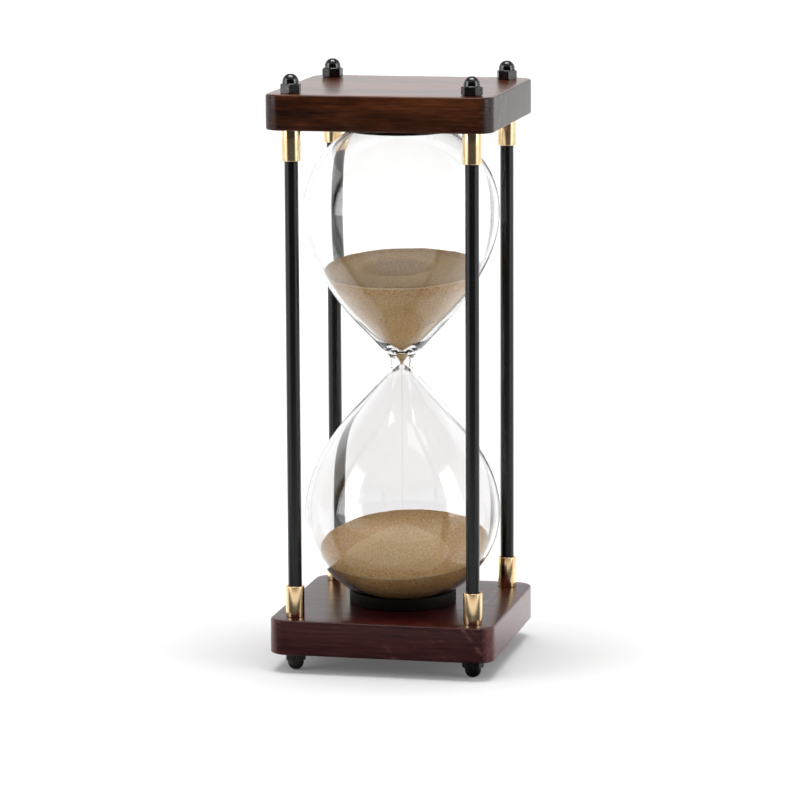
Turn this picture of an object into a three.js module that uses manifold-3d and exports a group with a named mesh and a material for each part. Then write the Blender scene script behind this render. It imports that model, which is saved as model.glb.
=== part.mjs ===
// A square hourglass: a blown glass bulb between two wooden plates, held by four
// steel posts with brass ferrules and acorn nuts. The lower nuts are its feet.
// Millimetres, +Z up. The origin is on the floor, under the middle of the plates.
import * as THREE from 'three';
import { mergeVertices } from 'three/addons/utils/BufferGeometryUtils.js';
import Module from 'manifold-3d';

const wasm = await Module();
wasm.setup();

const at = (radius, height) => new THREE.Vector2(radius, height);

// Driving dimensions: frame
const TOTAL_HEIGHT = 254;        // foot tips to the tips of the top nuts
const PLATE_SIDE = 97;
const PLATE_THICKNESS = 15;
const PLATE_CORNER_RADIUS = 7.5;
const PLATE_EASE = 0.6;          // eased edge round both faces of a plate
const PLATE_FIELD_RADIUS = 28;   // middle of each face, clear of the nuts
const POST_OFFSET = 38.5;        // post axes from the middle, along X and along Y
const POST_RADIUS = 2.9;
const THREAD_RADIUS = 2.5;       // turned-down threaded ends of a post
const THREAD_IN_NUT = 4.6;
const FERRULE_RADIUS = 4;
const FERRULE_LENGTH = 13.4;
const FERRULE_FLOOR = 2;         // flange that the post's shoulder stands on
const FERRULE_EASE = 0.3;
const NUT_ACROSS_FLATS = 8;
const NUT_HEX_HEIGHT = 4;
const NUT_HEIGHT = 8;
const NUT_DOME_RADIUS = 3.45;
const NUT_TIP_RADIUS = 1;        // small flat on the top of the dome
const NUT_BORE_DEPTH = 5;

// Driving dimensions: glass, seats and sand
const BULB_RADIUS = 42;
const BULB_WALL = 1.6;
const LOWER_END_HEIGHT = 40;     // the rounded ends are a little flatter than a sphere
const UPPER_END_HEIGHT = 41;
const END_WALL = 2;
const LOWER_BULB_Z = 62.6;       // centre of the lower bulb's round part
const NECK_Z = 126.8;            // the orifice
const UPPER_BULB_Z = 192.4;      // centre of the upper bulb's round part
const NECK_RADIUS = 4.8;
const NECK_OUTSIDE = [at(6, -3.8), at(NECK_RADIUS, -1.2), at(NECK_RADIUS, 1.8), at(7.1, 5.2)];
const CONE_ANGLE = 43;           // half angle of the cone out of the neck
const CONE_LENGTH = 20;          // from the orifice to where the cone starts to swell
const CONE_END_RADIUS = 21;
const CONE_SWELL = 5;            // how far the swelling curve keeps to the cone
const BULB_SWELL = 21;           // and to the bulb's widest part
const ORIFICE_RADIUS = 0.8;
// The upper bulb's channel through the thick glass of the neck, as heights above the orifice
const UPPER_THROAT = [at(0.95, 1.6), at(2.4, 4.8), at(2.9, 6.5), at(5.8, 8), at(11.9, 13.1)];
const FILL_HOLE_RADIUS = 5;
const STOPPER_LENGTH = 4;
const SEAT_RADIUS = 23;
const SEAT_BORE_RADIUS = 17.6;
const DISC_RADIUS = 16;
const DISC_THICKNESS = 2;
const STREAM_RADIUS = 0.3;
const LOWER_SAND = { level: 47, tiltX: 0.5, tiltY: 12, radius: 20, height: 9, moundX: 0, moundY: 0 };
const UPPER_SAND = { level: 168, tiltX: 0, tiltY: 7, radius: 17, height: -8.5, moundX: -3.5, moundY: 2 };

// Clearances and facets
const FIT_GAP = 0.3;             // between pieces that nest or turn
const THREAD_GAP = 0.25;         // round a threaded end
const BULB_SEGMENTS = 36;
const ROUND_SEGMENTS = 16;

// Heights that follow
const LOWER_PLATE_Z = NUT_HEIGHT;
const LOWER_SEAT_Z = LOWER_PLATE_Z + PLATE_THICKNESS;
const UPPER_PLATE_Z = TOTAL_HEIGHT - NUT_HEIGHT - PLATE_THICKNESS;
const UPPER_NUT_Z = UPPER_PLATE_Z + PLATE_THICKNESS;
const LOWER_END_Z = LOWER_SEAT_Z + DISC_THICKNESS + FIT_GAP;
const UPPER_END_Z = UPPER_PLATE_Z - DISC_THICKNESS - FIT_GAP;
const CORNERS = [
  { name: 'front_left', x: -POST_OFFSET, y: -POST_OFFSET },
  { name: 'front_right', x: POST_OFFSET, y: -POST_OFFSET },
  { name: 'back_left', x: -POST_OFFSET, y: POST_OFFSET },
  { name: 'back_right', x: POST_OFFSET, y: POST_OFFSET },
];

// Materials
const finish = (color, roughness, metalness = 0) => ({ color, roughness, metalness });
const WOOD = finish(0x3c1c14, 0.35);
const SEAT_WOOD = finish(0x1d100d, 0.5);
const BLACK_STEEL = finish(0x141414, 0.4, 0.3);
const BRASS = finish(0xd9b064, 0.2, 1);
const BLACK_NICKEL = finish(0x1a1a1c, 0.25, 0.8);
const RUBBER = finish(0x141414, 0.8);
const GLASS = { ...finish(0xe8f0f0, 0.03), transparent: true, opacity: 0.3 };
const STOPPER = finish(0x6a5038, 0.8);
const SAND = finish(0xb0946c, 0.9);

const group = new THREE.Group();

function place(name, geometry, material, x = 0, y = 0, z = 0) {
  const mesh = new THREE.Mesh(geometry, new THREE.MeshStandardMaterial(material));
  mesh.name = name;
  mesh.position.set(x, y, z);
  group.add(mesh);
  return mesh;
}

// Turns a profile of (radius, height) points round the Z axis.
function turned(profile, segments = ROUND_SEGMENTS) {
  const geometry = new THREE.LatheGeometry(profile, segments);
  return geometry.rotateX(Math.PI / 2);
}

// A closed ring-shaped profile ends where it starts.
const closed = (profile) => [...profile, profile[0].clone()];

// Points on an arc about (radius, height), with angles in degrees from the outward direction.
function arc(radius, height, size, from, to, steps) {
  return Array.from({ length: steps + 1 }, (_, i) => {
    const angle = THREE.MathUtils.degToRad(from + ((to - from) * i) / steps);
    return at(radius + size * Math.cos(angle), height + size * Math.sin(angle));
  });
}

// Booleans
function solid(geometry) {
  const bare = geometry.clone();
  bare.deleteAttribute('normal');
  bare.deleteAttribute('uv');
  const merged = mergeVertices(bare, 1e-4);
  const corners = merged.index.array;
  const kept = [];
  for (let i = 0; i < corners.length; i += 3) {
    const [a, b, c] = corners.slice(i, i + 3);
    if (a !== b && b !== c && c !== a) kept.push(a, b, c);
  }
  const vertProperties = new Float32Array(merged.attributes.position.array);
  return new wasm.Manifold(new wasm.Mesh({ numProp: 3, vertProperties, triVerts: new Uint32Array(kept) }));
}

function toGeometry(manifold) {
  const mesh = manifold.getMesh();
  const geometry = new THREE.BufferGeometry();
  geometry.setAttribute('position', new THREE.BufferAttribute(mesh.vertProperties, mesh.numProp));
  geometry.setIndex(new THREE.BufferAttribute(mesh.triVerts, 1));
  return geometry;
}

// Plates

function roundedSquare(half, radius) {
  const centre = half - radius;
  const corner = (x, y, from) => arc(x, y, radius, from, from + 90, 6);
  return [
    ...corner(centre, centre, 0),
    ...corner(-centre, centre, 90),
    ...corner(-centre, -centre, 180),
    ...corner(centre, -centre, 270),
  ];
}

const circle = (x, y, radius, count) => arc(x, y, radius, 0, 360 - 360 / count, count - 1);

// A plate with eased edges and four through holes. Each face is cut along a circle,
// so its middle is a face of its own.
function plateGeometry() {
  const half = PLATE_SIDE / 2;
  const inner = roundedSquare(half - PLATE_EASE, PLATE_CORNER_RADIUS - PLATE_EASE);
  const outer = roundedSquare(half, PLATE_CORNER_RADIUS);
  const holes = CORNERS.map(({ x, y }) => circle(x, y, THREAD_RADIUS + THREAD_GAP, ROUND_SEGMENTS));
  const field = circle(0, 0, PLATE_FIELD_RADIUS, ROUND_SEGMENTS);
  const positions = [];
  const triangle = (...corners) => corners.forEach(([p, z]) => positions.push(p.x, p.y, z));

  const wall = (low, lowZ, high, highZ, inward = false) => low.forEach((a, i) => {
    const next = (i + 1) % low.length;
    const quad = [[a, lowZ], [low[next], lowZ], [high[next], highZ], [high[i], highZ]];
    if (inward) quad.reverse();
    triangle(quad[0], quad[1], quad[2]);
    triangle(quad[0], quad[2], quad[3]);
  });

  const face = (outline, openings, z, up) => {
    const points = [...outline, ...openings.flat()];
    for (const [a, b, c] of THREE.ShapeUtils.triangulateShape(outline, openings)) {
      const order = up ? [a, b, c] : [a, c, b];
      triangle(...order.map((i) => [points[i], z]));
    }
  };

  const top = PLATE_THICKNESS;
  for (const [z, up] of [[0, false], [top, true]]) {
    face(inner, [...holes, field], z, up);
    face(field, [], z, up);
  }
  wall(inner, 0, outer, PLATE_EASE);
  wall(outer, PLATE_EASE, outer, top - PLATE_EASE);
  wall(outer, top - PLATE_EASE, inner, top);
  holes.forEach((hole) => wall(hole, 0, hole, top, true));

  const geometry = new THREE.BufferGeometry();
  geometry.setAttribute('position', new THREE.Float32BufferAttribute(positions, 3));
  return geometry;
}

place('bottom_plate', plateGeometry(), WOOD, 0, 0, LOWER_PLATE_Z);
place('top_plate', plateGeometry(), WOOD, 0, 0, UPPER_PLATE_Z);

// Posts, ferrules and nuts

function postGeometry() {
  const low = LOWER_PLATE_Z - THREAD_IN_NUT;
  const high = UPPER_NUT_Z + THREAD_IN_NUT;
  const lowShoulder = LOWER_SEAT_Z + FERRULE_FLOOR;
  const highShoulder = UPPER_PLATE_Z - FERRULE_FLOOR;
  return turned([
    at(0, low), at(THREAD_RADIUS, low), at(THREAD_RADIUS, lowShoulder), at(POST_RADIUS, lowShoulder),
    at(POST_RADIUS, highShoulder), at(THREAD_RADIUS, highShoulder), at(THREAD_RADIUS, high), at(0, high),
  ]);
}

// A brass cup: its floor lies on the plate and its mouth faces up.
function ferruleGeometry() {
  const hole = THREAD_RADIUS + THREAD_GAP;
  const mouth = POST_RADIUS + THREAD_GAP;
  return turned(closed([
    at(hole, 0), at(FERRULE_RADIUS - FERRULE_EASE, 0), at(FERRULE_RADIUS, FERRULE_EASE),
    at(FERRULE_RADIUS, FERRULE_LENGTH - FERRULE_EASE), at(FERRULE_RADIUS - FERRULE_EASE, FERRULE_LENGTH),
    at(mouth, FERRULE_LENGTH), at(mouth, FERRULE_FLOOR), at(hole, FERRULE_FLOOR),
  ]));
}

// A blind acorn nut, hexagon down and dome up.
function nutGeometry() {
  const cornerRadius = NUT_ACROSS_FLATS / Math.sqrt(3);
  const hexagon = new THREE.CylinderGeometry(cornerRadius, cornerRadius, NUT_HEX_HEIGHT, 6);
  hexagon.rotateX(Math.PI / 2).translate(0, 0, NUT_HEX_HEIGHT / 2);
  const chamferSlope = Math.tan(THREE.MathUtils.degToRad(30));
  const chamferDrop = (cornerRadius - NUT_ACROSS_FLATS / 2) * chamferSlope;
  const chamfer = turned([
    at(0, -1), at(cornerRadius + 1, -1), at(cornerRadius + 1, NUT_HEX_HEIGHT - chamferDrop - chamferSlope),
    at(NUT_ACROSS_FLATS / 2, NUT_HEX_HEIGHT), at(0, NUT_HEX_HEIGHT),
  ]);
  const tipAngle = THREE.MathUtils.radToDeg(Math.acos(NUT_TIP_RADIUS / NUT_DOME_RADIUS));
  const domeZ = NUT_HEIGHT - Math.sqrt(NUT_DOME_RADIUS ** 2 - NUT_TIP_RADIUS ** 2);
  const dome = turned([
    at(0, NUT_HEX_HEIGHT / 2), at(NUT_DOME_RADIUS, NUT_HEX_HEIGHT / 2),
    ...arc(0, domeZ, NUT_DOME_RADIUS, 0, tipAngle, 5), at(0, NUT_HEIGHT),
  ]);
  const boreRadius = THREAD_RADIUS + THREAD_GAP;
  const bore = turned([
    at(0, -1), at(boreRadius, -1), at(boreRadius, NUT_BORE_DEPTH), at(0, NUT_BORE_DEPTH),
  ]);
  return toGeometry(solid(hexagon).intersect(solid(chamfer)).add(solid(dome)).subtract(solid(bore)));
}

CORNERS.forEach(({ name, x, y }, i) => {
  place(`post_${name}`, postGeometry(), BLACK_STEEL, x, y);
  place(`lower_ferrule_${name}`, ferruleGeometry(), BRASS, x, y, LOWER_SEAT_Z);
  place(`upper_ferrule_${name}`, ferruleGeometry(), BRASS, x, y, UPPER_PLATE_Z).rotation.x = Math.PI;
  const foot = place(`foot_nut_${name}`, nutGeometry(), BLACK_NICKEL, x, y, LOWER_PLATE_Z);
  foot.rotation.set(Math.PI, 0, THREE.MathUtils.degToRad(20 + 25 * i));
  const nut = place(`top_nut_${name}`, nutGeometry(), BLACK_NICKEL, x, y, UPPER_NUT_Z);
  nut.rotation.z = THREE.MathUtils.degToRad(5 + 25 * i);
});

// Glass

const LOWER_BULB = {
  direction: -1, z: LOWER_BULB_Z, endZ: LOWER_END_Z, endHeight: LOWER_END_HEIGHT, throat: [],
};
const UPPER_BULB = {
  direction: 1, z: UPPER_BULB_Z, endZ: UPPER_END_Z, endHeight: UPPER_END_HEIGHT, throat: UPPER_THROAT,
};

// Half of the glass, from the neck to the corner of its flat end: a cone out of the neck, a
// curve that swells into the round part, and a rounded end. The insets move it inwards.
function halfOutline({ z, endZ, endHeight }, inset, endInset) {
  const length = Math.abs(z - NECK_Z);
  const end = Math.abs(endZ - NECK_Z) - endInset;
  const coneAngle = THREE.MathUtils.degToRad(CONE_ANGLE);
  const outward = at(Math.sin(coneAngle), Math.cos(coneAngle));
  const radius = BULB_RADIUS - inset;
  const height = endHeight - inset;
  const coneEnd = at(CONE_END_RADIUS - inset * outward.y, CONE_LENGTH + inset * outward.x);
  const swell = new THREE.CubicBezierCurve(
    coneEnd, coneEnd.clone().addScaledVector(outward, CONE_SWELL),
    at(radius, length - BULB_SWELL), at(radius, length),
  );
  const endAngle = THREE.MathUtils.radToDeg(Math.asin((end - length) / height));
  const flatten = (p) => at(p.x, length + ((p.y - length) * height) / radius);
  return [...swell.getPoints(6), ...arc(0, length, radius, 0, endAngle, 6).slice(1).map(flatten)];
}

// Heights from the orifice become heights from the floor.
const side = (points, direction) => points.map((p) => at(p.x, NECK_Z + direction * p.y));

const outerOutline = (bulb) => side(halfOutline(bulb, 0, 0), bulb.direction);

// The inside of one bulb, kept clear of the glass by gap.
const cavityOutline = (bulb, gap) => side([
  at(ORIFICE_RADIUS - gap / 2, gap),
  ...bulb.throat.map((p) => at(p.x - gap, p.y + gap / 2)),
  ...halfOutline(bulb, BULB_WALL + gap, END_WALL + gap),
], bulb.direction);

function glassGeometry() {
  return turned(closed([
    at(FILL_HOLE_RADIUS, LOWER_END_Z),
    ...outerOutline(LOWER_BULB).reverse(),
    ...side(NECK_OUTSIDE, 1),
    ...outerOutline(UPPER_BULB),
    at(0, UPPER_END_Z),
    at(0, UPPER_END_Z - END_WALL),
    ...cavityOutline(UPPER_BULB, 0).reverse(),
    ...cavityOutline(LOWER_BULB, 0),
    at(FILL_HOLE_RADIUS, LOWER_END_Z + END_WALL),
  ]), BULB_SEGMENTS);
}

place('glass_bulb', glassGeometry(), GLASS);
place('fill_stopper', turned([
  at(0, 0), at(FILL_HOLE_RADIUS - FIT_GAP, 0),
  at(FILL_HOLE_RADIUS - FIT_GAP, STOPPER_LENGTH), at(0, STOPPER_LENGTH),
]), STOPPER, 0, 0, LOWER_END_Z);

// Seats

// The ring that the bulb's end sits in: its mouth follows the glass at a clearance.
function seatGeometry(bulbHeight, endHeight) {
  const cup = (radius) => {
    const share = Math.sqrt(1 - (radius / (BULB_RADIUS + FIT_GAP)) ** 2);
    return at(radius, bulbHeight - (endHeight + FIT_GAP) * share);
  };
  const steps = 4;
  const mouth = Array.from({ length: steps + 1 }, (_, i) => (
    cup(SEAT_RADIUS + ((SEAT_BORE_RADIUS - SEAT_RADIUS) * i) / steps)));
  return turned(closed([at(SEAT_BORE_RADIUS, 0), at(SEAT_RADIUS, 0), ...mouth]), BULB_SEGMENTS);
}

const discGeometry = () => turned([
  at(0, 0), at(DISC_RADIUS, 0), at(DISC_RADIUS, DISC_THICKNESS), at(0, DISC_THICKNESS),
], BULB_SEGMENTS);

const lowerSeat = seatGeometry(LOWER_BULB_Z - LOWER_SEAT_Z, LOWER_END_HEIGHT);
place('lower_seat_ring', lowerSeat, SEAT_WOOD, 0, 0, LOWER_SEAT_Z);
place('lower_rubber_disc', discGeometry(), RUBBER, 0, 0, LOWER_SEAT_Z);
const upperSeat = seatGeometry(UPPER_PLATE_Z - UPPER_BULB_Z, UPPER_END_HEIGHT);
place('upper_seat_ring', upperSeat, SEAT_WOOD, 0, 0, UPPER_PLATE_Z).rotation.x = Math.PI;
place('upper_rubber_disc', discGeometry(), RUBBER, 0, 0, UPPER_PLATE_Z - DISC_THICKNESS);

// Sand

// What fills a bulb up to a leaning surface with a mound (or, with a height below 0, a pit).
function sandGeometry(cavity, { level, tiltX, tiltY, radius, height, moundX, moundY }) {
  const beyond = 2 * BULB_RADIUS;
  const heap = turned([
    at(0, -level), at(beyond, -level), at(beyond, 0), at(radius, 0), at(0, height),
  ], BULB_SEGMENTS);
  const lean = new THREE.Matrix4().makeShear(0, Math.tan(THREE.MathUtils.degToRad(tiltX)),
    0, Math.tan(THREE.MathUtils.degToRad(tiltY)), 0, 0);
  heap.translate(moundX, moundY, 0).applyMatrix4(lean).translate(0, 0, level);
  return toGeometry(solid(turned(cavity, BULB_SEGMENTS)).intersect(solid(heap)));
}

const stopperRecess = LOWER_END_Z + STOPPER_LENGTH + FIT_GAP;
place('sand_lower', sandGeometry([
  at(0, stopperRecess),
  at(FILL_HOLE_RADIUS, stopperRecess),
  at(FILL_HOLE_RADIUS, LOWER_END_Z + END_WALL + FIT_GAP),
  ...cavityOutline(LOWER_BULB, FIT_GAP).reverse(),
  at(0, NECK_Z - FIT_GAP),
], LOWER_SAND), SAND);

place('sand_upper', sandGeometry([
  at(0, NECK_Z + FIT_GAP),
  ...cavityOutline(UPPER_BULB, FIT_GAP),
  at(0, UPPER_END_Z - END_WALL - FIT_GAP),
], UPPER_SAND), SAND);

// The falling stream, from the orifice to the top of the lower mound
const streamFoot = LOWER_SAND.level + LOWER_SAND.height + FIT_GAP;
const stream = new THREE.CylinderGeometry(STREAM_RADIUS, STREAM_RADIUS, NECK_Z - streamFoot, 8);
stream.rotateX(Math.PI / 2);
place('sand_stream', stream, SAND, 0, 0, (NECK_Z + streamFoot) / 2);

export default group;
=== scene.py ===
# A square hourglass, dressed for close looks: smooth turned metal, stained wood with
# growth rings, blown glass and fine dry sand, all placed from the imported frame.
import math
import random

import bmesh
import bpy
from mathutils import Matrix, Vector, noise


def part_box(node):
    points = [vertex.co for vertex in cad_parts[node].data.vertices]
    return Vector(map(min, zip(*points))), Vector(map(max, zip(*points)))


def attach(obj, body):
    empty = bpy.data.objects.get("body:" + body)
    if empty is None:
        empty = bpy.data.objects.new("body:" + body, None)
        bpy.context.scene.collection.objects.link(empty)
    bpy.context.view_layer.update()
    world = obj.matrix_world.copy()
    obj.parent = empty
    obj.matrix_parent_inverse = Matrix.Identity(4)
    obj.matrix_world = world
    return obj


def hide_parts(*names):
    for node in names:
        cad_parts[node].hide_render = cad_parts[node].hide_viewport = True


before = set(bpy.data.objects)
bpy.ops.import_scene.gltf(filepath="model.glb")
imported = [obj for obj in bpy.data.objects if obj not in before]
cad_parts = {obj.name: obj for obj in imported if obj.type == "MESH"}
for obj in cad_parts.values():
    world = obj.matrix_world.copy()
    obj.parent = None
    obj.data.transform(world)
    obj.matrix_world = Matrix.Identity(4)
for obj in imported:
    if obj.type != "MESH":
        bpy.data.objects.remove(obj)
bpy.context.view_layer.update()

MM = 0.001
TURN = 2 * math.pi
CORNERS = ["front_left", "front_right", "back_left", "back_right"]


# Sizes, in metres, from the frame

def low(node):
    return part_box(node)[0]


def high(node):
    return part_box(node)[1]


def middle(node):
    return (low(node) + high(node)) / 2


HALF_HEIGHT = high("top_nut_front_left").z / 2
GLASS_LOW, GLASS_HIGH = low("glass_bulb").z, high("glass_bulb").z
BULB_RADIUS = high("glass_bulb").x
BULB_WALL = 1.6 * MM
END_WALL = 2 * MM
LOWER_BULB_Z = 62.6 * MM
NECK_Z = 126.8 * MM
UPPER_BULB_Z = 192.4 * MM
ORIFICE_RADIUS = 0.8 * MM
FILL_HOLE_RADIUS = 5 * MM
CONE_ANGLE = math.radians(43)
CONE_LENGTH = 20 * MM
CONE_END_RADIUS = 21 * MM
CONE_SWELL = 5 * MM
BULB_SWELL = 21 * MM
SCREW_HOLE_RADIUS = 2.75 * MM
FERRULE_FLOOR = 2 * MM
DOME_HEIGHT = 4 * MM

# Each half of the bulb: which way it goes from the neck, its round part's middle, its flat end and
# how tall the rounded end is. The throat is the channel through the thick glass of the neck, as
# (radius, distance from the neck) in millimetres.
LOWER = {"way": -1, "z": LOWER_BULB_Z, "end": GLASS_LOW, "end_height": 40 * MM, "throat": []}
UPPER = {"way": 1, "z": UPPER_BULB_Z, "end": GLASS_HIGH, "end_height": 41 * MM,
         "throat": [(0.95, 1.6), (1.9, 3.4), (2.5, 5.0), (2.9, 6.5), (5.8, 8.0), (8.7, 10.2),
                    (11.9, 13.1)]}

# The outside of the neck, as (radius, height over the neck) in millimetres
NECK_OUTSIDE = [(9.5, -7.67), (6.9, -4.9), (5.2, -2.7), (4.75, -0.6),
                (4.75, 1.4), (5.3, 3.3), (6.9, 5.1), (9.5, 7.67)]

# How the sand lies. A leaning surface is its height in the middle of the bulb, and its slopes
# along X and Y.
SAND_GAP = 0.12 * MM
REPOSE = math.radians(29)
LOWER_LEAN = (47.0 * MM, math.tan(math.radians(0.5)), math.tan(math.radians(12)))
UPPER_LEAN = (168.0 * MM, 0.0, math.tan(math.radians(7)))
CONE_TIP_Z = 58.6 * MM
PIT_FLOOR_Z = 158.9 * MM
PIT_MIDDLE = (-3.5 * MM, 2 * MM)


# Meshes

def add_piece(name, mesh, material, body, slot, *nodes, sharp_above=35):
    """One piece of the object, shaded smooth between its sharp edges."""
    mesh.materials.append(material)
    mesh.shade_smooth()
    mesh.set_sharp_from_angle(angle=math.radians(sharp_above))
    piece = bpy.data.objects.new(name, mesh)
    bpy.context.scene.collection.objects.link(piece)
    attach(piece, body)
    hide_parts(*nodes)


def mesh_from(name, vertices, faces):
    mesh = bpy.data.meshes.new(name)
    mesh.from_pydata(vertices, [], faces)
    shape = bmesh.new()
    shape.from_mesh(mesh)
    bmesh.ops.remove_doubles(shape, verts=shape.verts, dist=1e-7)
    bmesh.ops.recalc_face_normals(shape, faces=shape.faces)
    shape.to_mesh(mesh)
    shape.free()
    return mesh


def ring_faces(rings, segments, closed=False):
    """Quads between rings of vertices numbered one ring after another. Closed joins the last ring
    to the first."""
    faces = []
    for row in range(rings if closed else rings - 1):
        after = (row + 1) % rings
        for i in range(segments):
            j = (i + 1) % segments
            faces.append((row * segments + i, row * segments + j,
                          after * segments + j, after * segments + i))
    return faces


def turned_mesh(name, profile, segments=96, place=(0, 0)):
    """Turns a closed (radius, height) profile round a vertical axis at place.
    A profile that starts and ends on the axis is closed there."""
    open_ended = profile[0][0] == 0 and profile[-1][0] == 0
    vertices = []
    for radius, height in profile:
        for i in range(segments):
            angle = TURN * i / segments
            x, y = radius * math.cos(angle), radius * math.sin(angle)
            vertices.append((place[0] + x, place[1] + y, height))
    return mesh_from(name, vertices, ring_faces(len(profile), segments, not open_ended))


def arc(radius, height, size, start, end, steps):
    """Points on an arc about (radius, height), with angles in degrees from outward."""
    points = []
    for i in range(steps + 1):
        angle = math.radians(start + (end - start) * i / steps)
        points.append((radius + size * math.cos(angle), height + size * math.sin(angle)))
    return points


def bezier(a, b, c, d, steps):
    """Points on the curve from a to d that b and c pull at."""
    points = []
    for i in range(steps + 1):
        t = i / steps
        weights = ((1 - t) ** 3, 3 * (1 - t) ** 2 * t, 3 * (1 - t) * t * t, t ** 3)
        points.append(tuple(sum(w * p[k] for w, p in zip(weights, (a, b, c, d)))
                            for k in (0, 1)))
    return points


def smooth(points, steps):
    """A curve through the points; the first and the last only set its direction."""
    curve = []
    for a, b, c, d in zip(points, points[1:], points[2:], points[3:]):
        for i in range(steps):
            t = i / steps
            point = []
            for k in (0, 1):
                linear = c[k] - a[k]
                square = 2 * a[k] - 5 * b[k] + 4 * c[k] - d[k]
                cube = 3 * b[k] - a[k] - 3 * c[k] + d[k]
                point.append(0.5 * (2 * b[k] + linear * t + square * t ** 2 + cube * t ** 3))
            curve.append(tuple(point))
    return curve + [points[-2]]


# Material nodes

class Nodes:
    """A material's nodes. add() makes one, links the sockets and sets the values given. A keyword
    is an input's name with _ for a space, or _ and its number."""

    def __init__(self, name):
        self.material = bpy.data.materials.new(name)
        self.material.use_nodes = True
        self.tree = self.material.node_tree
        self.shader = self.tree.nodes["Principled BSDF"]

    def add(self, kind, settings=None, **inputs):
        node = self.tree.nodes.new("ShaderNode" + kind)
        for key, value in (settings or {}).items():
            setattr(node, key, value)
        for key, value in inputs.items():
            self.set(node, key, value)
        return node

    def set(self, node, key, value):
        numbered = key[0] == "_"
        socket = node.inputs[int(key[1:]) if numbered else key.replace("_", " ")]
        if isinstance(value, bpy.types.NodeSocket):
            self.tree.links.new(value, socket)
        else:
            socket.default_value = value

    def finish(self, **inputs):
        for key, value in inputs.items():
            self.set(self.shader, key, value)
        return self.material

    def place(self):
        return self.add("TexCoord").outputs["Object"]

    def scaled(self, vector, scale, offset=(0, 0, 0)):
        node = self.add("Mapping", Vector=vector, Scale=scale, Location=offset)
        return node.outputs["Vector"]

    def noise(self, vector, scale, detail, roughness=0.5):
        node = self.add("TexNoise", Vector=vector, Scale=scale, Detail=detail, Roughness=roughness)
        return node.outputs["Fac"]

    def math(self, operation, a, b=0.0):
        return self.add("Math", {"operation": operation}, _0=a, _1=b).outputs["Value"]

    def plus(self, a, b):
        return self.math("ADD", a, b)

    def minus(self, a, b):
        return self.math("SUBTRACT", a, b)

    def times(self, a, b):
        return self.math("MULTIPLY", a, b)

    def size(self, value):
        return self.math("ABSOLUTE", value)

    def dot(self, a, b):
        node = self.add("VectorMath", {"operation": "DOT_PRODUCT"}, _0=a, _1=b)
        return node.outputs["Value"]

    def length(self, vector):
        return self.add("VectorMath", {"operation": "LENGTH"}, _0=vector).outputs["Value"]

    def axes(self, vector):
        return self.add("SeparateXYZ", Vector=vector).outputs

    def between(self, value, from_low, from_high, to_low=0.0, to_high=1.0):
        node = self.add("MapRange", _0=value, _1=from_low, _2=from_high, _3=to_low, _4=to_high)
        return node.outputs["Result"]

    def ramp(self, value, stops):
        node = self.add("ValToRGB", Fac=value)
        elements = node.color_ramp.elements
        while len(elements) < len(stops):
            elements.new(0.5)
        for element, (position, colour) in zip(elements, stops):
            element.position = position
            element.color = (*colour, 1)
        return node.outputs["Color"]

    def blend(self, factor, a, b, mode="MIX"):
        node = self.add("Mix", {"data_type": "RGBA", "blend_type": mode}, _0=factor, _6=a, _7=b)
        return node.outputs[2]

    def bump(self, height, strength, distance, normal=None):
        node = self.add("Bump", Strength=strength, Distance=distance, Height=height)
        if normal is not None:
            self.set(node, "Normal", normal)
        return node.outputs["Normal"]


RINGS_PER_METRE = 640.0
RING_WARP = 6.0   # how many rings' width the rings wander


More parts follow.
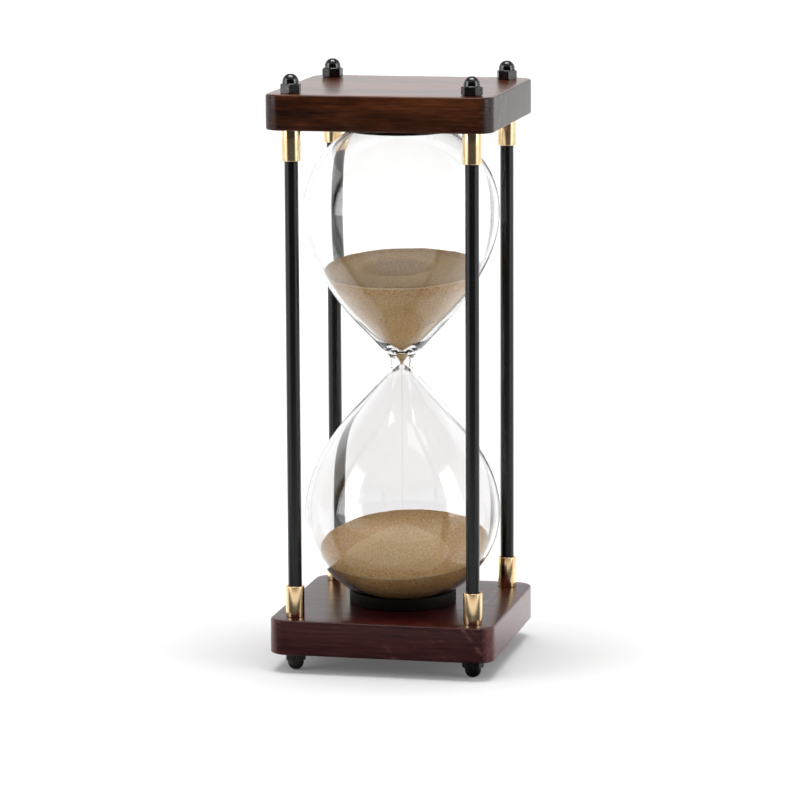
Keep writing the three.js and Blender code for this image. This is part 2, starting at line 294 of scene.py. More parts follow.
def wood(node, pith, stain, broad, end_stain, seed, varnish, scars=0.0):
    """Stained timber with its grain along X. pith is the (y, z) of the rings' centre, in metres,
    and stain is its darkest, middle and lightest colour. broad is painted light and shade on the
    two broad faces, multiplied into their colour, and the end grain has its own tone. scars is
    how far scratches show."""
    n = Nodes(node + "_wood")
    place = n.place()
    axes = n.axes(place)
    shifted = n.scaled(place, (1, 1, 1), (seed, 0, 0))
    warp = n.noise(n.scaled(shifted, (18, 55, 55)), 1.0, 2, 0.5)
    from_pith = n.length(n.scaled(place, (0, 1, 1), (0, -pith[0], -pith[1])))
    rings = n.plus(n.times(from_pith, RINGS_PER_METRE), n.times(warp, RING_WARP))
    late = n.math("POWER", n.math("FRACT", rings), 2.0)
    # Features per metre: few along the grain, many across it
    fibre = n.noise(n.scaled(shifted, (30, 800, 800)), 1.0, 5, 0.65)
    streak = n.noise(n.scaled(shifted, (75, 420, 420)), 1.0, 3, 0.6)
    cloud = n.noise(n.scaled(shifted, (16, 70, 70)), 1.0, 3, 0.55)
    mottle = n.plus(n.times(cloud, 0.55), n.times(streak, 0.45))
    dark, mid, light = stain
    base = n.ramp(mottle, [(0.36, dark), (0.5, mid), (0.64, light)])

    # Masks: 1 on the two broad faces, and 1 at the ends of the grain
    half = (high(node).z - low(node).z) / 2
    from_middle = n.size(n.minus(axes["Z"], middle(node).z))
    flat = n.between(from_middle, half - 0.3 * MM, half - 0.05 * MM)
    end = n.between(n.size(axes["X"]), high(node).x - 4.5 * MM, high(node).x - 2 * MM)
    end = n.times(end, n.minus(1.0, flat))
    # Painted light and shade: broad multiplies the colour of the broad faces
    base = n.blend(flat, base, (*broad, 1), "MULTIPLY")
    base = n.blend(end, base, (*end_stain, 1))

    ringed = n.blend(n.times(late, 0.42), base, (0.42, 0.34, 0.34, 1), "MULTIPLY")
    pores = n.times(n.between(fibre, 0.62, 0.38), 0.5)
    colour = n.blend(pores, ringed, (0.4, 0.33, 0.33, 1), "MULTIPLY")
    if scars:
        # Thin slanting lines, on the right half only and broken up by the streaks
        slant = n.plus(n.times(axes["X"], 0.79), n.times(axes["Z"], 0.61))
        wave = n.noise(n.add("CombineXYZ", X=slant).outputs[0], 95.0, 1)
        line = n.between(n.size(n.minus(wave, 0.5)), 0.0, 0.007, 1.0, 0.0)
        broken = n.times(line, n.between(streak, 0.45, 0.6, 0.0, scars))
        scratched = n.times(broken, n.between(axes["X"], 0.0, 10 * MM))
        colour = n.blend(scratched, colour, (0.16, 0.07, 0.06, 1))
    relief = n.plus(n.times(fibre, 0.6), n.times(late, -0.4))
    ripple = n.bump(n.times(late, end), 0.9, 0.8 * MM)
    normal = n.bump(relief, 0.14, 0.25 * MM, ripple)
    rough = n.between(fibre, 0.3, 0.7, 0.34, 0.46)
    return n.finish(Base_Color=colour, Roughness=rough, Normal=normal, Coat_Weight=0.6,
                    Coat_Roughness=varnish, Coat_IOR=1.35, Specular_IOR_Level=0.05)


def seat_wood():
    """Very dark and matt."""
    n = Nodes("seat_wood")
    grain = n.noise(n.scaled(n.place(), (400, 400, 1500)), 1.0, 5, 0.7)
    colour = n.ramp(grain, [(0.35, (0.0025, 0.0010, 0.0010)), (0.7, (0.0120, 0.0050, 0.0045))])
    return n.finish(Base_Color=colour, Roughness=n.between(grain, 0.3, 0.7, 0.5, 0.65),
                    Normal=n.bump(grain, 0.4, 0.2 * MM), Specular_IOR_Level=0.1)


def rubber(name, colour):
    """Matt and finely speckled."""
    n = Nodes(name)
    speck = n.noise(n.place(), 2600.0, 3, 0.6)
    dark = tuple(c * 0.7 for c in colour)
    return n.finish(Base_Color=n.ramp(speck, [(0.35, dark), (0.65, colour)]),
                    Roughness=n.between(speck, 0.3, 0.7, 0.7, 0.85),
                    Normal=n.bump(speck, 0.2, 0.1 * MM))


def black_steel():
    """Drawn bar under a thin black finish, its marks running along it."""
    n = Nodes("black_steel")
    place = n.place()
    fine = n.noise(place, 5200.0, 4, 0.6)
    drawn = n.noise(n.scaled(place, (900, 900, 25)), 1.0, 4, 0.6)
    colour = n.ramp(drawn, [(0.35, (0.0020, 0.0020, 0.0023)), (0.65, (0.0038, 0.0038, 0.0041))])
    rough = n.between(n.plus(fine, drawn), 0.7, 1.3, 0.2, 0.29)
    return n.finish(Base_Color=colour, Specular_IOR_Level=0.42, Roughness=rough,
                    Normal=n.bump(fine, 0.12, 0.05 * MM))


def brass():
    """Turned, with lathe marks round it and a little tarnish."""
    n = Nodes("brass")
    place = n.place()
    lathe = n.noise(n.scaled(place, (30, 30, 4200)), 1.0, 3, 0.6)
    tarnish = n.noise(place, 320.0, 4, 0.6)
    colour = n.ramp(tarnish, [(0.3, (0.84, 0.58, 0.31)), (0.7, (0.94, 0.71, 0.43))])
    rough = n.between(n.plus(lathe, tarnish), 0.7, 1.3, 0.1, 0.2)
    return n.finish(Base_Color=colour, Metallic=1.0, Roughness=rough,
                    Normal=n.bump(lathe, 0.06, 0.04 * MM))


def black_nickel(name, dark, light, dome_rough, hexagon_rough):
    """Smoother on the domes than on the hexagons, which lie nearer the middle of the object."""
    n = Nodes(name)
    place = n.place()
    wear = n.noise(place, 900.0, 5, 0.6)
    pits = n.noise(place, 3800.0, 3, 0.6)
    colour = n.ramp(wear, [(0.35, dark), (0.7, light)])
    from_middle = n.size(n.minus(n.axes(place)["Z"], HALF_HEIGHT))
    dome_start = HALF_HEIGHT - DOME_HEIGHT
    hexagon = n.between(from_middle, dome_start, dome_start + 0.1 * MM, 1.0, 0.0)
    base = n.between(hexagon, 0.0, 1.0, dome_rough, hexagon_rough)
    rough = n.plus(base, n.between(wear, 0.3, 0.7, 0.0, 0.07))
    pitted = n.bump(n.times(pits, hexagon), 0.25, 0.1 * MM)
    return n.finish(Base_Color=colour, Metallic=1.0, Roughness=rough, Normal=pitted)


def glass():
    """Clear, and a little dusty in the lower half."""
    n = Nodes("clear_glass")
    flow = n.noise(n.scaled(n.place(), (30, 30, 14)), 1.0, 2, 0.5)
    height = n.axes(n.place())["Z"]
    dusty = n.between(height, NECK_Z + 1 * MM, NECK_Z - 5 * MM)
    colour = n.blend(dusty, (0.992, 0.996, 0.993, 1), (0.945, 0.942, 0.945, 1))
    return n.finish(Base_Color=colour, Roughness=0.0, IOR=1.5, Transmission_Weight=1.0,
                    Normal=n.bump(flow, 0.02, 2 * MM))


def sand():
    """Fine dry grains, with painted light and shade: the cone in the lower bulb is painted paler,
    the pit of the upper one darker, a painted highlight runs where a surface meets the glass, and
    the faces against the glass are painted darker."""
    n = Nodes("sand")
    place = n.place()
    grain = n.noise(place, 3600.0, 2, 0.7)
    coarse = n.noise(place, 1500.0, 3, 0.75)
    drift = n.noise(place, 60.0, 3, 0.5)
    mixed = n.plus(n.times(grain, 0.45), n.times(coarse, 0.55))
    colour = n.ramp(mixed, [(0.39, (0.30, 0.130, 0.034)), (0.46, (0.80, 0.450, 0.158)),
                            (0.53, (0.98, 0.605, 0.250)), (0.61, (1.0, 0.870, 0.580))])
    colour = n.blend(n.between(drift, 0.3, 0.7, 0.0, 0.15), colour, (0.72, 0.45, 0.165, 1))

    def above(surface):
        """Height over a leaning surface."""
        level, slope_x, slope_y = surface
        return n.minus(n.dot(place, (-slope_x, -slope_y, 1.0)), level)

    def aside(middle_x, middle_y):
        """Distance from an upright axis."""
        return n.length(n.scaled(place, (1, 1, 0), (-middle_x, -middle_y, 0)))

    # Painted light: the cone over the lower surface is paler, and a highlight rings its foot
    rise = above(LOWER_LEAN)
    inner = n.between(aside(0, 0), 30 * MM, 28 * MM)
    cone = n.times(n.between(rise, 0.3 * MM, 0.9 * MM), inner)
    foot_highlight = n.times(n.between(rise, 0.2 * MM, 0.5 * MM), n.between(rise, 1.2 * MM, 0.7 * MM))
    colour = n.blend(n.times(cone, 0.28), colour, (1.0, 0.80, 0.48, 1))
    colour = n.blend(n.times(n.times(foot_highlight, inner), 0.18), colour, (1.0, 0.90, 0.64, 1))

    # The pit lies under the upper surface, painted darker: painted shade
    pit = n.times(n.between(above(UPPER_LEAN), -0.4 * MM, -1.6 * MM),
                  n.between(aside(*PIT_MIDDLE), 21 * MM, 19 * MM))
    pit = n.times(pit, n.between(n.axes(place)["Z"], 157.5 * MM, 158.5 * MM))
    colour = n.blend(n.times(pit, 0.28), colour, (0.30, 0.19, 0.085, 1))

    # Faces that look sideways or down lie against the glass
    facing_up = n.axes(n.add("TexCoord").outputs["Normal"])["Z"]
    distances = [n.size(above(surface)) for surface in (LOWER_LEAN, UPPER_LEAN)]
    # Painted highlight: a pale line where a surface meets the glass
    rim_highlight = n.between(n.math("MINIMUM", *distances), 0.7 * MM, 0.4 * MM)
    rim_highlight = n.times(rim_highlight, n.between(facing_up, 0.5, 0.3))
    # Painted shade: the faces against the glass are darkened
    side_shade = n.between(facing_up, 0.3, 0.0)
    colour = n.blend(side_shade, colour, (0.79, 0.745, 0.69, 1), "MULTIPLY")
    colour = n.blend(n.times(rim_highlight, 0.6), colour, (1.0, 0.82, 0.50, 1))
    normal = n.bump(coarse, 0.8, 0.4 * MM, n.bump(grain, 0.7, 0.2 * MM))
    return n.finish(Base_Color=colour, Roughness=n.between(grain, 0.3, 0.7, 0.75, 0.95),
                    Normal=normal)


# The top plate's broad faces are painted lighter: painted light and painted reflection from above
WOOD_TOP = wood("top_plate", pith=(-0.052, 0.212),
                stain=((0.021, 0.0053, 0.0016), (0.052, 0.0135, 0.0038), (0.112, 0.0320, 0.0090)),
                broad=(1.9, 1.75, 1.65), end_stain=(0.045, 0.032, 0.028), seed=0.34, varnish=0.18)
# The bottom plate's broad faces are painted darker and redder: painted shade
WOOD_BOTTOM = wood("bottom_plate", pith=(0.045, -0.060),
                   stain=((0.029, 0.0070, 0.0078), (0.048, 0.0118, 0.0125),
                          (0.066, 0.0170, 0.0175)),
                   broad=(1.0, 0.45, 0.4), end_stain=(0.15, 0.058, 0.058), seed=0.7,
                   varnish=0.26, scars=0.5)
SEAT_WOOD = seat_wood()
RUBBER = rubber("seat_rubber", (0.014, 0.014, 0.014))
STOPPER = rubber("stopper_rubber", (0.35, 0.24, 0.15))
STEEL = black_steel()
BRASS = brass()
NICKEL = black_nickel("black_nickel", (0.048, 0.049, 0.048), (0.095, 0.097, 0.095),
                      dome_rough=0.12, hexagon_rough=0.2)
# The foot nuts under the plate: a darker copy of the finish, painted shade, and rougher
SHADED_FOOT_NICKEL = black_nickel("shaded_foot_nickel", (0.030, 0.028, 0.027), (0.075, 0.072, 0.070),
                           dome_rough=0.32, hexagon_rough=0.42)
GLASS = glass()
SAND = sand()


# Plates

def plate(node, material):
    """A square board with rounded corners, eased edges and a screw hole through each corner."""
    bottom, top = low(node).z, high(node).z
    half = high(node).x
    corner_radius, ease = 7.5 * MM, 0.9 * MM
    ease_steps, corner_steps, bore_segments = 5, 24, 48

    def outline(inset):
        points = []
        radius, centre = corner_radius - inset, half - corner_radius
        for quarter, (sx, sy) in enumerate([(1, 1), (-1, 1), (-1, -1), (1, -1)]):
            turned = arc(0, 0, radius, 90 * quarter, 90 * quarter + 90, corner_steps)
            points += [(sx * centre + x, sy * centre + y) for x, y in turned]
        return points

    shape = bmesh.new()
    slants = [math.pi / 2 * i / ease_steps for i in range(ease_steps + 1)]
    edge = [(ease * (1 - math.sin(a)), ease * (1 - math.cos(a))) for a in slants]
    levels = [(inset, bottom + rise) for inset, rise in edge]
    levels += [(inset, top - rise) for inset, rise in reversed(edge)]
    rings = [[shape.verts.new((x, y, z)) for x, y in outline(inset)] for inset, z in levels]
    count = len(rings[0])
    for below, above in zip(rings, rings[1:]):
        for i in range(count):
            j = (i + 1) % count
            shape.faces.new((below[i], below[j], above[j], above[i]))
    bores = []
    circle = arc(0, 0, SCREW_HOLE_RADIUS, 0, 360, bore_segments)[:-1]
    for name in CORNERS:
        centre = middle("post_" + name)
        bores.append([[shape.verts.new((centre.x + x, centre.y + y, z)) for x, y in circle]
                      for z in (bottom, top)])
    for lower, upper in bores:
        for i in range(bore_segments):
            j = (i + 1) % bore_segments
            shape.faces.new((lower[j], lower[i], upper[i], upper[j]))
    for level, ring in ((0, rings[0]), (1, rings[-1])):   # the broad faces, round their holes
        edges = []
        for loop in [ring] + [bore[level] for bore in bores]:
            for i, vertex in enumerate(loop):
                after = loop[(i + 1) % len(loop)]
                edges.append(shape.edges.get((vertex, after)) or shape.edges.new((vertex, after)))
        bmesh.ops.triangle_fill(shape, use_beauty=True, edges=edges)
    bmesh.ops.recalc_face_normals(shape, faces=shape.faces)
    mesh = bpy.data.meshes.new(node)
    shape.to_mesh(mesh)
    shape.free()
    add_piece(node + "_board", mesh, material, "frame", "stained_wood", node, sharp_above=50)


plate("bottom_plate", WOOD_BOTTOM)
plate("top_plate", WOOD_TOP)


# Posts, ferrules and nuts

def post(corner):
    """A black bar, turned down at both ends to go through the plates."""
    node = "post_" + corner
    centre, radius = middle(node), (high(node).x - low(node).x) / 2
    thread, ease = 2.5 * MM, 0.2 * MM
    low_shoulder = low("lower_ferrule_" + corner).z + FERRULE_FLOOR
    high_shoulder = high("upper_ferrule_" + corner).z - FERRULE_FLOOR
    profile = [
        (0, low(node).z), (thread - ease, low(node).z), (thread, low(node).z + ease),
        (thread, low_shoulder), (radius - ease, low_shoulder), (radius, low_shoulder + ease),
        (radius, high_shoulder - ease), (radius - ease, high_shoulder), (thread, high_shoulder),
        (thread, high(node).z - ease), (thread - ease, high(node).z), (0, high(node).z),
    ]
    mesh = turned_mesh(node, profile, 64, (centre.x, centre.y))
    add_piece(node + "_bar", mesh, STEEL, "frame", "black_steel", node)


def ferrule(node, up):
    """A brass cup on a post's end, its mouth away from the plate."""
    centre, radius = middle(node), (high(node).x - low(node).x) / 2
    length = high(node).z - low(node).z
    base = low(node).z if up else high(node).z
    mouth, ease, mouth_ease = 3.05 * MM, 0.28 * MM, 0.12 * MM
    outline = [(SCREW_HOLE_RADIUS, 0.0)]
    outline += arc(radius - ease, ease, ease, -90, 0, 5)
    outline += arc(radius - ease, length - ease, ease, 0, 90, 5)
    outline += [(mouth + mouth_ease, length), (mouth, length - mouth_ease)]
    outline += [(mouth, FERRULE_FLOOR), (SCREW_HOLE_RADIUS, FERRULE_FLOOR)]
    direction = 1 if up else -1
    profile = [(r, base + direction * z) for r, z in outline]
    mesh = turned_mesh(node, profile, place=(centre.x, centre.y))
    add_piece(node + "_sleeve", mesh, BRASS, "frame", "brass", node)


def acorn_nut(node, up, turn, material):
    """A hexagon with chamfered corners, a short neck and a polished dome, blind-bored."""
    box_low, box_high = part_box(node)
    centre = (box_low + box_high) / 2
    base = box_low.z if up else box_high.z
    direction = 1 if up else -1
    height = box_high.z - box_low.z
    flats, hex_height, bevel = 8 * MM, height - DOME_HEIGHT, 0.12 * MM
    dome_radius, tip, fillet, bore_depth = 3.45 * MM, 1 * MM, 0.15 * MM, 5 * MM
    slope = math.tan(math.radians(30))
    dome_z = height - math.sqrt(dome_radius ** 2 - tip ** 2)
    tip_angle = math.degrees(math.acos(tip / dome_radius))
    segments = 96
    rings = []

    def hexagon(angle):
        within = (angle + math.radians(30)) % math.radians(60) - math.radians(30)
        return flats / 2 / math.cos(within)

    def ring(radius, z, chamfer=0.0):
        """radius is a number or a function of the angle; chamfer lowers z where the hexagon is
        wide."""
        points = []
        for i in range(segments):
            angle = TURN * i / segments
            r = radius(angle) if callable(radius) else radius
            drop = chamfer * max(0.0, r - flats / 2) * slope
            points.append((r * math.cos(angle + turn), r * math.sin(angle + turn), z - drop))
        rings.append(points)

    # The bore, the hexagon, the fillet under the dome and the dome
    ring(0.0, bore_depth)
    ring(SCREW_HOLE_RADIUS, bore_depth)
    ring(SCREW_HOLE_RADIUS, 0.0)
    ring(flats / 2 - 0.1 * MM, 0.0)
    ring(hexagon, bevel, -0.8)
    ring(hexagon, hex_height - bevel, 1.0)
    ring(flats / 2 - 0.15 * MM, hex_height)
    for r, z in arc(dome_radius + fillet, hex_height + fillet, fillet, 270, 180, 3):
        ring(r, z)
    for r, z in arc(0, dome_z, dome_radius, 2, tip_angle, 22):
        ring(r, z)
    ring(0.0, height)
    vertices = [(centre.x + x, centre.y + y, base + direction * z)
                for points in rings for x, y, z in points]
    mesh = mesh_from(node, vertices, ring_faces(len(rings), segments))
    add_piece(node + "_cap", mesh, material, "frame", "black_nickel", node, sharp_above=24)


for index, corner in enumerate(CORNERS):
    post(corner)
    ferrule("lower_ferrule_" + corner, True)
    ferrule("upper_ferrule_" + corner, False)
    acorn_nut("foot_nut_" + corner, False, math.radians(20 + 25 * index), SHADED_FOOT_NICKEL)
    acorn_nut("top_nut_" + corner, True, math.radians(5 + 25 * index), NICKEL)


# Glass

def half_outline(bulb, inset, end_inset, steps=28):
    """Half of the bulb from its neck to the corner of its flat end, as (radius, distance from the
    neck)."""
    length, end = abs(bulb["z"] - NECK_Z), abs(bulb["end"] - NECK_Z) - end_inset
    out, along = math.sin(CONE_ANGLE), math.cos(CONE_ANGLE)
    radius, height = BULB_RADIUS - inset, bulb["end_height"] - inset
    cone_end = (CONE_END_RADIUS - inset * along, CONE_LENGTH + inset * out)
    swell = bezier(cone_end, (cone_end[0] + out * CONE_SWELL, cone_end[1] + along * CONE_SWELL),
                   (radius, length - BULB_SWELL), (radius, length), steps)
    end_angle = math.degrees(math.asin((end - length) / height))
    ball = arc(0, length, radius, 0, end_angle, steps)
    return swell + [(r, length + (h - length) * height / radius) for r, h in ball[1:]]


def cavity(bulb, gap=0.0):
    """The inside of a half bulb: the throat out of the orifice, then the swelling wall. The
    points before and after only turn the throat's curve into line."""
    wall = half_outline(bulb, BULB_WALL + gap, END_WALL + gap)
    out, along = math.sin(CONE_ANGLE), math.cos(CONE_ANGLE)
    orifice = (ORIFICE_RADIUS - gap, gap)
    throat = [(r * MM - gap, h * MM + gap / 2) for r, h in bulb["throat"]]
    before = (orifice[0], -2 * MM) if throat else (orifice[0] - out * MM, orifice[1] - along * MM)
    after = (wall[0][0] + out * 6 * MM, wall[0][1] + along * 6 * MM)
    return smooth([before, orifice] + throat + [wall[0], after], 8)[:-1] + wall


def placed(points, way):
    return [(r, NECK_Z + way * h) for r, h in points]


def outside(bulb):
    """The outer face of a half bulb, with a soft corner round its flat end."""
    wall = half_outline(bulb, 0.0, 0.0)
    rim = wall[-1]
    corner = bezier(wall[-3], rim, (rim[0] - 0.2 * MM, rim[1]), (rim[0] - 2.4 * MM, rim[1]), 8)
    return placed(wall[:-3] + corner, bulb["way"])


def glass_bulb():
    """Both halves and the neck between them, hollow and open at the fill hole."""
    cone = [(CONE_END_RADIUS, CONE_LENGTH * way) for way in (-1, 1)]
    neck = [(r * MM, h * MM) for r, h in NECK_OUTSIDE]
    waist = placed(smooth([cone[0]] + neck + [cone[1]], 8), 1)
    profile = [(FILL_HOLE_RADIUS, GLASS_LOW)] + outside(LOWER)[::-1] + waist + outside(UPPER)
    profile += [(0, GLASS_HIGH), (0, GLASS_HIGH - END_WALL)]
    profile += placed(cavity(UPPER), 1)[::-1] + placed(cavity(LOWER), -1)
    profile += [(FILL_HOLE_RADIUS, GLASS_LOW + END_WALL)]
    mesh = turned_mesh("glass_bulb", profile, 192)
    add_piece("glass_bulb_blown", mesh, GLASS, "bulb", "clear_glass", "glass_bulb", sharp_above=60)


glass_bulb()


# Seats and stopper

def seat(node, bulb):
    """A ring whose mouth follows the glass."""
    outer, bore, ease = high(node).x, 17.6 * MM, 0.35 * MM
    base = low(node).z if bulb["way"] < 0 else high(node).z
    height = high(node).z - low(node).z
    cup, cup_height = BULB_RADIUS + 0.25 * MM, bulb["end_height"] + 0.25 * MM
    reach = abs(bulb["z"] - base)
    steps = 10
    mouth = []
    for i in range(steps + 1):
        r = outer - ease + (bore - outer + ease) * i / steps
        mouth.append((r, reach - cup_height * math.sqrt(1 - (r / cup) ** 2)))
    top = min(height, mouth[0][1])
    profile = [(bore, 0.0), (outer - 0.6 * MM, 0.0), (outer - 0.2 * MM, 0.2 * MM),
               (outer, 0.6 * MM), (outer, top - ease)]
    profile += arc(outer - ease, top - ease, ease, 15, 75, 3)
    profile += mouth
    mesh = turned_mesh(node, [(r, base - bulb["way"] * z) for r, z in profile], 144)
    add_piece(node + "_cup", mesh, SEAT_WOOD, "frame", "seat_wood", node)


def pad(node, part, material, body, slot, ease, taper=0.0, segments=96):
    """A disc or plug with rounded rims, its top narrower by taper all round."""
    radius = high(node).x
    bottom, top = low(node).z, high(node).z
    profile = [(0, bottom)] + arc(radius - ease, bottom + ease, ease, -90, 0, 4)
    profile += arc(radius - taper - ease, top - ease, ease, 0, 90, 4) + [(0, top)]
    mesh = turned_mesh(node, profile, segments)
    add_piece(node + part, mesh, material, body, slot, node)


seat("lower_seat_ring", LOWER)
seat("upper_seat_ring", UPPER)
pad("lower_rubber_disc", "_gasket", RUBBER, "frame", "seat_rubber", 0.25 * MM)
pad("upper_rubber_disc", "_gasket", RUBBER, "frame", "seat_rubber", 0.25 * MM)
pad("fill_stopper", "_plug", STOPPER, "bulb", "stopper_rubber", 0.3 * MM, 0.3 * MM, 64)


# Sand

def wall_radius(wall, height):
    """The cavity's radius at a height above or below the neck, from its points."""
    if height <= wall[0][1]:
        return wall[0][0]
    for (r0, h0), (r1, h1) in zip(wall, wall[1:]):
        if h0 <= height <= h1:
            return r0 + (r1 - r0) * (height - h0) / (h1 - h0)
    return wall[-1][0]


def sand_body(node, bulb, surface):
    """Sand that fills a half bulb up to surface(x, y)."""
    wall, way = cavity(bulb, SAND_GAP), bulb["way"]
    segments, surface_rings, wall_rings = 288, 120, 90
    floor = placed([wall[0] if way > 0 else wall[-1]], way)[0][1]
    bearings = [TURN * i / segments for i in range(segments)]
    rings = []

    def ring(radii, heights):
        rings.append([(r * math.cos(a), r * math.sin(a), z)
                      for a, r, z in zip(bearings, radii, heights)])

    edges = []   # how far the surface reaches before it meets the glass, at each bearing
    for a in bearings:
        short, long = 2 * MM, BULB_RADIUS
        for _ in range(40):
            r = (short + long) / 2
            z = surface(r * math.cos(a), r * math.sin(a))
            inside = r < wall_radius(wall, (z - NECK_Z) * way)
            short, long = (r, long) if inside else (short, r)
        edges.append(short)
    for step in range(surface_rings + 1):
        radii = [edge * step / surface_rings for edge in edges]
        ring(radii, [surface(r * math.cos(a), r * math.sin(a)) for a, r in zip(bearings, radii)])
    # Down the glass, from where the surface met it
    tops = [point[2] for point in rings[-1]]
    for step in range(1, wall_rings + 1):
        heights = [top + (floor - top) * step / wall_rings for top in tops]
        ring([wall_radius(wall, (z - NECK_Z) * way) for z in heights], heights)
    if way < 0:  # the recess over the stopper
        recess = high("fill_stopper").z + 0.3 * MM
        ring([FILL_HOLE_RADIUS] * segments, [floor] * segments)
        ring([FILL_HOLE_RADIUS] * segments, [recess] * segments)
    ring([0] * segments, [rings[-1][0][2]] * segments)

    vertices = [point for points in rings for point in points]
    mesh = mesh_from(node, vertices, ring_faces(len(rings), segments))
    add_piece(node + "_grains", mesh, SAND, "bulb", "sand", node, sharp_above=50)


def drifts(x, y, seed):
    """The slight unevenness of a settled surface, in broad swells and fine ripples."""
    place = Vector((x, y, seed))
    swells = noise.noise(place * 110) * 0.22 * MM
    ripples = noise.noise(place * 900) * 0.06 * MM
    return swells + ripples


def lean(x, y, surface):
    """The height of a leaning surface."""
    level, slope_x, slope_y = surface
    return level + x * slope_x + y * slope_y


def soft_max(a, b, softness):
    """The larger of a and b, rounded where they are close."""
    return (a + b + math.sqrt((a - b) ** 2 + softness ** 2)) / 2


def lower_surface(x, y):
    """A leaning surface with the cone that the stream has built, and a small crater at its tip."""
    r = math.hypot(x, y)
    blunt, crater_radius, crater_depth = 1.2 * MM, 2.4 * MM, 2.6 * MM
    cone = CONE_TIP_Z - math.sqrt(r ** 2 + blunt ** 2) * math.tan(REPOSE)
    cone -= crater_depth * math.exp(-(r / crater_radius) ** 2)
    return soft_max(lean(x, y, LOWER_LEAN), cone, 0.25 * MM) + drifts(x, y, 0.3)


def upper_surface(x, y):
    """A leaning surface with the pit that the sand runs down into."""
    r = math.hypot(x - PIT_MIDDLE[0], y - PIT_MIDDLE[1])
    blunt = 1.5 * MM
    pit = PIT_FLOOR_Z + math.sqrt(r ** 2 + blunt ** 2) * math.tan(REPOSE)
    return -soft_max(-lean(x, y, UPPER_LEAN), -pit, 0.2 * MM) + drifts(x, y, 0.8)


sand_body("sand_lower", LOWER, lower_surface)
sand_body("sand_upper", UPPER, upper_surface)


def sand_stream():
    """Falling grains, close together under the orifice and further apart lower down."""
    draw = random.Random(7)
    top, foot = high("sand_stream").z, low("sand_stream").z
    grains, crowding, reach, foot_gap = 1000, 2.3, 0.22 * MM, 0.5 * MM
    shape = bmesh.new()
    for _ in range(grains):
        fall = draw.random() ** crowding
        z = top - fall * (top - foot - foot_gap)
        spread = 0.6 * (0.05 + 0.13 * fall) * MM
        x, y = (max(-reach, min(reach, draw.gauss(0, spread))) for _ in range(2))
        size = draw.uniform(0.045, 0.075) * MM
        turn = Matrix.Rotation(draw.uniform(0, TURN), 4, (draw.random(), draw.random(), 1))
        wide, tall = draw.uniform(0.7, 1), draw.uniform(0.7, 1.3)
        grow = Matrix.Diagonal((size, size * wide, size * tall, 1))
        bmesh.ops.create_icosphere(shape, subdivisions=1, radius=1,
                                   matrix=Matrix.Translation((x, y, z)) @ turn @ grow)
    mesh = bpy.data.meshes.new("sand_stream")
    shape.to_mesh(mesh)
    shape.free()
    add_piece("sand_stream_grains", mesh, SAND, "bulb", "sand", "sand_stream")


sand_stream()


# Floor, light and camera

TO_CAMERA = (0.213, -0.977, 0)   # level direction from the object to the camera
TO_RIGHT = (0.977, 0.213, 0)
FLOOR_HALF = 6.0
CARD_NEAR, CARD_FAR = 0.77, 0.86   # how pale the card is at the object and far behind it
SHINE = 0.09   # light that the card adds for the camera
SIDE_GLOW = 0.6   # light that it adds for mirrors
DARK, BACKDROP, CEILING = 0.035, 1.1, 0.4   # how bright the room is behind the camera and round it
SEEN_THROUGH_GLASS = 0.08   # how much lighter the dark room is through glass
OVERHEAD, WINDOW, SIDE = 8.6, 1.0, 2.8   # how bright each softbox is


def floor():
    """Pale card, painted paler far behind the object: painted light. Mirror-like surfaces see it
    dark close in front of the object, a painted shadow of the plate, and again where the room
    behind the camera begins, and painted bright at both sides and close behind."""
    n = Nodes("floor")
    place = n.place()
    mottle = n.noise(place, 3.0, 2, 0.5)
    toward = n.dot(place, TO_CAMERA)
    away = n.length(place)
    facing = n.math("DIVIDE", toward, away)   # 1 straight toward the camera, -1 straight behind
    card = n.plus(n.between(toward, -0.5, -1.4, CARD_NEAR, CARD_FAR), n.times(mottle, 0.01))
    grey = n.add("CombineColor", _0=card, _1=card, _2=card).outputs[0]

    # Where mirrors see it dark: a painted dark room, and close in front a painted shadow
    room = n.times(n.between(facing, 0.55, 0.75), n.between(toward, 0.3, 0.6))
    near = n.times(n.between(toward, 0.035, 0.05), n.between(toward, 0.16, 0.145))
    rays = n.add("LightPath").outputs
    mirrored = n.times(rays["Is Glossy Ray"], n.minus(1.0, rays["Is Transmission Ray"]))
    dark = n.times(n.math("MAXIMUM", room, near), mirrored)

    # Where mirrors see it bright: painted light, a glow for mirror rays only
    sideways = n.between(n.size(n.minus(facing, 0.3)), 0.2, 0.3, 1.0, 0.0)
    aside = n.times(sideways, n.between(away, 0.25, 0.5))
    behind = n.times(n.between(toward, 0.0, -0.06), n.between(away, 0.28, 0.2))
    glow = n.times(n.math("MAXIMUM", aside, behind), n.times(mirrored, SIDE_GLOW))
    shine = n.times(rays["Is Camera Ray"], SHINE)
    n.finish(Base_Color=n.blend(dark, grey, (0.05, 0.05, 0.05, 1)), Roughness=0.9,
             Specular_IOR_Level=0.2, Emission_Color=(1, 1, 1, 1),
             Emission_Strength=n.plus(glow, shine))
    mesh = bpy.data.meshes.new("floor")
    corners = [(-1, -1), (1, -1), (1, 1), (-1, 1)]
    mesh.from_pydata([(x * FLOOR_HALF, y * FLOOR_HALF, 0) for x, y in corners], [], [(0, 1, 2, 3)])
    mesh.materials.append(n.material)
    ground = bpy.data.objects.new("floor", mesh)
    bpy.context.scene.collection.objects.link(ground)


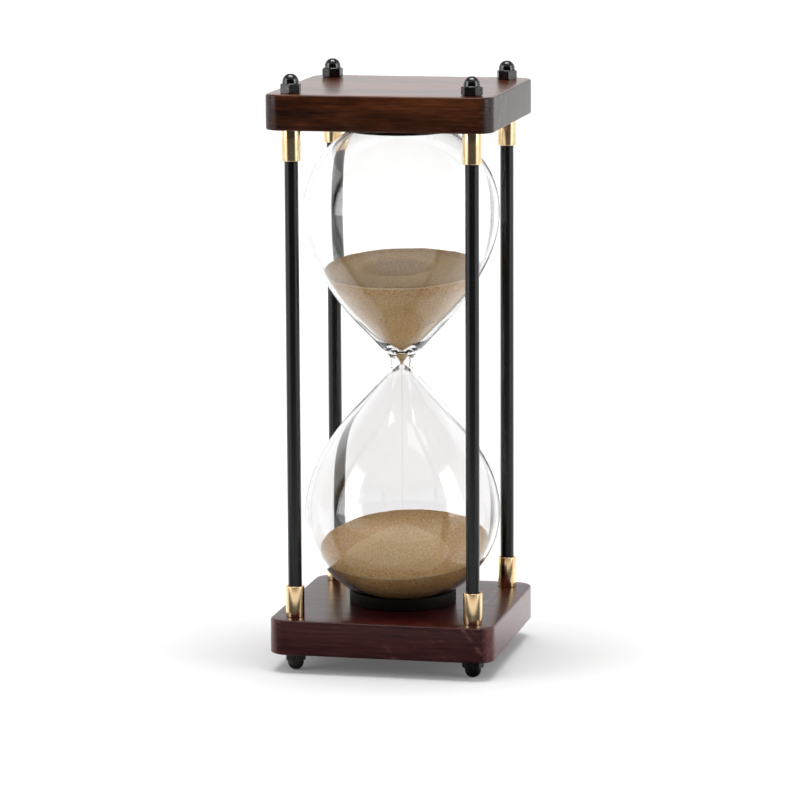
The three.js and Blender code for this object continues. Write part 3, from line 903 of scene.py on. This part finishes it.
def sky():
    """A studio: white backdrop, a softbox overhead, tall ones at both sides, a small window
    high in front, and a dark room behind the camera."""
    world = bpy.data.worlds.new("studio")
    bpy.context.scene.world = world
    world.use_nodes = True
    tree = world.node_tree
    background = tree.nodes["Background"]

    def add(kind, *values, **settings):
        node = tree.nodes.new("ShaderNode" + kind)
        for key, value in settings.items():
            setattr(node, key, value)
        for socket, value in zip(node.inputs, values):
            if isinstance(value, bpy.types.NodeSocket):
                tree.links.new(value, socket)
            else:
                socket.default_value = value
        return node

    def combine(operation, a, b=0.0):
        return add("Math", a, b, operation=operation).outputs["Value"]

    def fade(value, start, end, low=0.0, high=1.0):
        node = add("MapRange", value, start, end, low, high, interpolation_type="SMOOTHSTEP")
        return node.outputs["Result"]

    def panel(a, a_middle, a_half, b, b_middle, b_half, soft):
        """1 inside a rectangle in the coordinates a and b, fading to 0 over soft."""
        masks = []
        for value, mid, half in ((a, a_middle, a_half), (b, b_middle, b_half)):
            off = combine("ABSOLUTE", combine("SUBTRACT", value, mid))
            masks.append(fade(off, half, half + soft, 1.0, 0.0))
        return combine("MULTIPLY", *masks)

    direction = add("TexCoord").outputs["Generated"]
    toward = add("VectorMath", direction, TO_CAMERA, operation="DOT_PRODUCT").outputs["Value"]
    right = add("VectorMath", direction, TO_RIGHT, operation="DOT_PRODUCT").outputs["Value"]
    up = add("SeparateXYZ", direction).outputs["Z"]
    bearing = combine("ARCTAN2", right, toward)
    wide = combine("ABSOLUTE", bearing)

    through_glass = add("LightPath").outputs["Is Transmission Ray"]
    room = combine("ADD", DARK, combine("MULTIPLY", through_glass, SEEN_THROUGH_GLASS))
    low_light = fade(wide, 0.85, 1.05, room, BACKDROP)
    above = fade(up, 0.45, 0.65)
    light = combine("ADD", combine("MULTIPLY", above, CEILING),
                    combine("MULTIPLY", combine("SUBTRACT", 1.0, above), low_light))
    overhead, window = (combine("MULTIPLY", box, fade(up, 0.3, 0.4))
                        for box in (panel(right, 0.0, 0.28, toward, 0.0, 0.18, 0.05),
                                    panel(right, 0.31, 0.18, toward, 0.36, 0.11, 0.02)))
    left_box = panel(bearing, -1.25, 0.2, up, 0.1, 0.45, 0.06)
    right_box = panel(bearing, 1.15, 0.2, up, 0.1, 0.45, 0.06)
    for mask, radiance in ((overhead, OVERHEAD), (window, WINDOW), (left_box, SIDE),
                           (right_box, SIDE)):
        light = combine("ADD", light, combine("MULTIPLY", mask, radiance))
    tree.links.new(light, background.inputs["Strength"])
    background.inputs["Color"].default_value = (1, 1, 1, 1)


def camera():
    """The camera of the reference view: about 1.75 m away, a little above the top plate and
    looking down on it."""
    place, focal_length = (0.372937, -1.712775, 0.405351), 186.41   # metres, and millimetres
    yaw, pitch, roll = (math.radians(a) for a in (12.312, 9.53, -0.28))
    ahead_level = Vector((-math.sin(yaw), math.cos(yaw), 0))
    right_level = Vector((math.cos(yaw), math.sin(yaw), 0))
    ahead = ahead_level * math.cos(pitch) - Vector((0, 0, math.sin(pitch)))
    up_level = ahead_level * math.sin(pitch) + Vector((0, 0, math.cos(pitch)))
    right = right_level * math.cos(roll) + up_level * math.sin(roll)
    up = -right_level * math.sin(roll) + up_level * math.cos(roll)
    lens = bpy.data.cameras.new("camera")
    lens.sensor_width = 36
    lens.lens = focal_length
    lens.clip_start, lens.clip_end = 0.1, 30
    eye = bpy.data.objects.new("camera", lens)
    bpy.context.scene.collection.objects.link(eye)
    axes = Matrix((right, up, -ahead)).transposed().to_4x4()
    eye.matrix_world = Matrix.Translation(place) @ axes
    bpy.context.scene.camera = eye


floor()
sky()
camera()
bpy.context.scene.view_settings.view_transform = "Standard"
